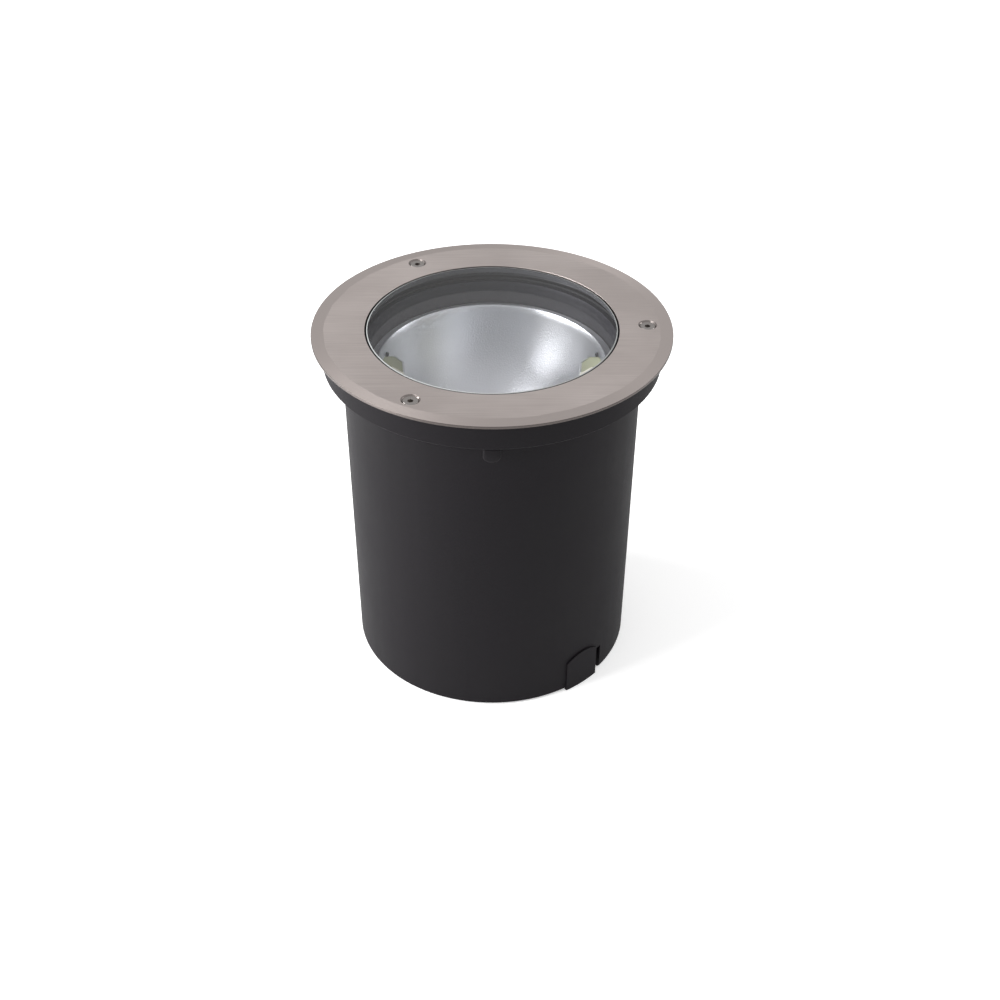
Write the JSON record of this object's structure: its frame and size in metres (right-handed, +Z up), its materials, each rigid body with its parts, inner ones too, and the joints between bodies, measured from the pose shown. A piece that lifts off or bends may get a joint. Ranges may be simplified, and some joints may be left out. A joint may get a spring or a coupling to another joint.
{
  "type": "in-ground well light",
  "caption": "Round in-ground well light: black moulded pot, cast housing with a bowl reflector, and a flat brushed stainless trim ring screwed over a flush glass lens.",
  "frame": {"origin": "centre of the pot's base, on the surface it stands on", "axes": "+Z up along the light's own axis, out of the glass; the front is towards -Y, and the lamp lies along X"},
  "size_m": [0.2, 0.2, 0.21],
  "materials": {
    "black_moulded_plastic": "matt, fine moulded texture",
    "die_cast_aluminium_grey": "dark grey, smooth casting",
    "stainless_steel": "brushed",
    "stainless_screw": "plain",
    "toughened_glass": "clear, polished edge",
    "silicone_rubber": "matt",
    "reflector_aluminium": "satin, finely hammered",
    "cream_enamelled_steel": "satin enamel",
    "steatite_ceramic": "unglazed ceramic",
    "contact_brass": "nickel plated brass",
    "quartz_glass": "clear",
    "burner_ceramic": "translucent ceramic",
    "zinc_plated_steel": "bright zinc",
    "lacquered_laminations": "dipped lacquer",
    "copper_winding": "enamelled wire",
    "ignitor_plastic": "moulded",
    "capacitor_aluminium": "drawn can",
    "terminal_plastic": "moulded",
    "silicone_sleeve": "matt",
    "gland_brass": "nickel plated brass"
  },
  "bodies": {
    "pot": {"mounting_pot": "black_moulded_plastic"},
    "luminaire": {"housing": "die_cast_aluminium_grey", "reflector": "reflector_aluminium", "holder_carrier_right": "cream_enamelled_steel", "holder_carrier_left": "cream_enamelled_steel", "lampholder_right": "steatite_ceramic", "lampholder_left": "steatite_ceramic", "lamp_envelope": "quartz_glass", "lamp_arc_tube": "burner_ceramic", "lamp_bases": "steatite_ceramic", "lamp_tips": "contact_brass", "heat_shield": "zinc_plated_steel", "shield_screws": "zinc_plated_steel", "gear_plate": "zinc_plated_steel", "gear_plate_screws": "zinc_plated_steel", "ballast_core": "lacquered_laminations", "ballast_coil": "copper_winding", "ignitor": "ignitor_plastic", "capacitor": "capacitor_aluminium", "capacitor_clip": "zinc_plated_steel", "terminal_block": "terminal_plastic", "earth_screw": "contact_brass", "lamp_lead_left": "silicone_sleeve", "lamp_lead_right": "silicone_sleeve", "gland_body": "gland_brass", "gland_locknut": "gland_brass", "gland_seal": "silicone_rubber", "gland_nut": "gland_brass"},
    "cover": {"trim_ring": "stainless_steel", "ring_screws": "stainless_screw", "glass_lens": "toughened_glass", "glass_gasket": "silicone_rubber"},
    "contact_plunger_right": {"contact_right": "contact_brass"},
    "contact_plunger_left": {"contact_left": "contact_brass"}
  },
  "joints": [
    {"name": "luminaire_lift", "type": "slide", "parent": "pot", "child": "luminaire", "axis": [0, 0, 1], "range_m": [0, 0.2]},
    {"name": "cover_lift", "type": "slide", "parent": "luminaire", "child": "cover", "axis": [0, 0, 1], "range_m": [0, 0.1]},
    {"name": "contact_right_press", "type": "slide", "parent": "luminaire", "child": "contact_plunger_right", "axis": [1, 0, 0], "range_m": [0, 0.002], "stiffness_N_per_m": 1500, "springref_m": -0.002},
    {"name": "contact_left_press", "type": "slide", "parent": "luminaire", "child": "contact_plunger_left", "axis": [-1, 0, 0], "range_m": [0, 0.002], "stiffness_N_per_m": 1500, "springref_m": -0.002}
  ]
}
